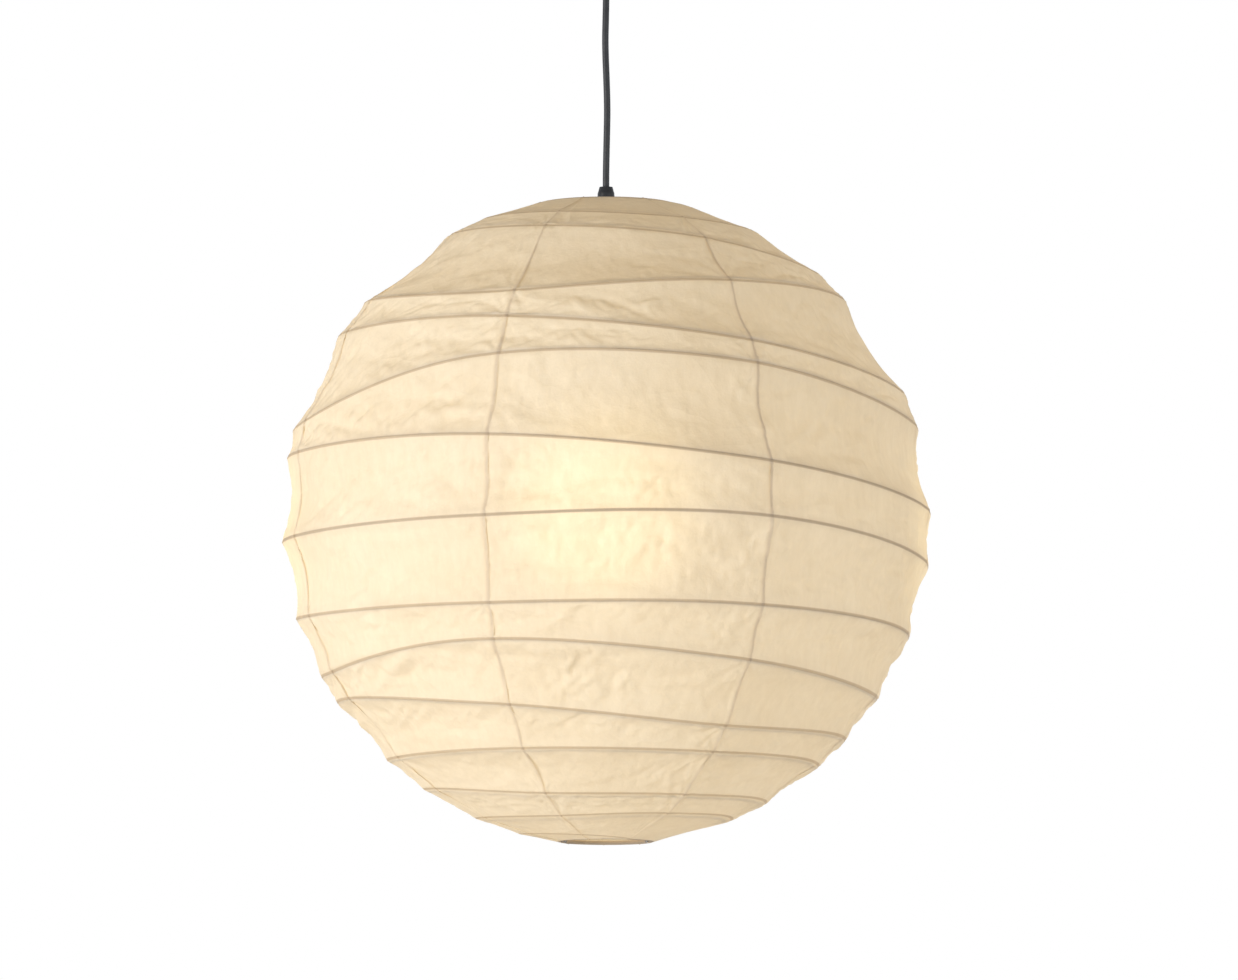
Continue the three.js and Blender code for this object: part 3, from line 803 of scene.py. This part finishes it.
def dress_frame_nodes():
    for node, piece in frame["nodes"].items():
        piece.data.materials.clear()
        piece.data.materials.append(MATERIALS[SLOT_OF_NODE[node]])


def dress_hardware():
    for node in TURNED_NODES:
        piece = turned_piece(f"smooth_{node}", rounded_outline(node_outline(node)))
        finish_as(piece, body_of_node(node), SLOT_OF_NODE[node], node)
        if node == "bulb_glass":
            piece.visible_shadow = False  # its light is the bulb_light inside it


def dress_bamboo():
    ends = [SPIRAL_START[0], *SPLICES, SPIRAL_END[0]]
    splice = 0.15 * MM / (TAU * RIB_RADIUS)
    for number, (start, stop) in enumerate(zip(ends, ends[1:]), 1):
        strip = bamboo_strip(number, start + splice, stop - splice)
        finish_as(strip, "lantern", "split_bamboo", f"rib_strip_{number:02d}")
        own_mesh(strip)


def dress_shade():
    for gore in range(GORES):
        panel = make_gore(gore)
        finish_as(panel, "lantern", "washi_paper", f"paper_gore_{gore + 1}")
        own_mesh(panel)


def dress_cord():
    cord.data.materials.append(MATERIALS["cord_jacket"])
    fittings = [node for node in frame["record"]["physics"]["cord_nodes"] if node != "suspension_cord"]
    on_cord = [piece for node, piece in frame["nodes"].items() if node in fittings]
    on_cord += [piece for piece in bpy.data.objects if piece.name[len("smooth_") :] in fittings]


dress_frame_nodes()
dress_hardware()
dress_bamboo()
dress_shade()
dress_cord()


# ---------- light ----------
BULB_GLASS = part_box("bulb_glass")
BULB_CENTRE = Vector((0, 0, BULB_GLASS[0].z + (BULB_GLASS[1].x - BULB_GLASS[0].x) / 2))
WARM = (1.0, 0.86, 0.62)


def make_bulb_light():
    data = bpy.data.lights.new("bulb_light", "POINT")
    data.energy = 0.9
    data.color = WARM
    data.shadow_soft_size = 0.028
    light = scene_object("bulb_light", data)
    light.location = BULB_CENTRE
    light.visible_camera = False
    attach(light, "bulb")


def make_glow(name, degrees, energy):
    """The bright patch where the bulb shows through the paper."""
    data = bpy.data.lights.new(name, "SPOT")
    data.energy = energy
    data.color = (1.0, 0.93, 0.66)
    data.spot_size = math.radians(44)
    data.spot_blend = 1.0
    data.shadow_soft_size = 0.02
    light = scene_object(name, data)
    light.location = BULB_CENTRE
    light.rotation_euler = (math.radians(90), 0, math.radians(180 - degrees))
    light.visible_camera = False
    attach(light, "bulb")


def make_area_light(name, place, size, energy, colour=(1, 1, 1)):
    data = bpy.data.lights.new(name, "AREA")
    data.size = size
    data.energy = energy
    data.color = colour
    light = scene_object(name, data)
    light.location = place
    light.rotation_euler = (Vector((0, 0, BALL_Z)) - Vector(place)).to_track_quat("-Z", "Y").to_euler()
    light.visible_camera = False


def make_world():
    """A white surround, a little cool, bright below and dark overhead."""
    world = bpy.data.worlds.new("studio")
    bpy.context.scene.world = world
    world.use_nodes = True
    nodes, links = world.node_tree.nodes, world.node_tree.links
    coordinates = nodes.new("ShaderNodeTexCoord")
    split = nodes.new("ShaderNodeSeparateXYZ")
    ramp = nodes.new("ShaderNodeValToRGB")
    ramp.color_ramp.elements[0].color = (0.95, 1.0, 1.08, 1)
    ramp.color_ramp.elements[1].color = (0.05, 0.05, 0.05, 1)
    links.new(coordinates.outputs["Generated"], split.inputs[0])
    links.new(split.outputs["Z"], ramp.inputs["Fac"])
    seen = nodes.new("ShaderNodeLightPath")
    choose = nodes.new("ShaderNodeMix")
    choose.data_type = "RGBA"
    links.new(seen.outputs["Is Camera Ray"], choose.inputs[0])
    links.new(ramp.outputs["Color"], choose.inputs[6])
    choose.inputs[7].default_value = (1, 1, 1, 1)
    links.new(choose.outputs[2], nodes["Background"].inputs["Color"])


def floor_material():
    """A pale floor with a clear underside, so the lantern can be seen from below as well."""
    made = Material("floor")
    made.shader.inputs["Base Color"].default_value = (0.88, 0.89, 0.90, 1)
    underside = made.node("ShaderNodeNewGeometry").outputs["Backfacing"]
    blend = made.node("ShaderNodeMixShader")
    made.link(underside, blend.inputs[0])
    made.link(made.shader.outputs[0], blend.inputs[1])
    made.link(made.node("ShaderNodeBsdfTransparent").outputs[0], blend.inputs[2])
    made.link(blend.outputs[0], made.output.inputs["Surface"])
    return made.material


def make_floor():
    floor = bpy.data.meshes.new("floor")
    disc = bmesh.new()
    bmesh.ops.create_circle(disc, cap_ends=True, radius=14, segments=96)
    disc.to_mesh(floor)
    disc.free()
    piece = scene_object("floor", floor)
    piece.location.z = cad_low.z - 2.2
    floor.materials.append(floor_material())


make_bulb_light()
for side in range(4):
    make_glow(f"bulb_glow_{side + 1}", side * 90, 1.6)
make_area_light("key_light", (-2.9, -2.0, -0.9), 1.0, 108)
make_area_light("fill_light", (2.6, -2.4, -1.0), 1.4, 34, (0.94, 0.98, 1.0))
make_area_light("back_light", (0.8, 3.6, -0.7), 1.6, 55)
make_world()
make_floor()
bpy.context.scene.view_settings.view_transform = "Standard"
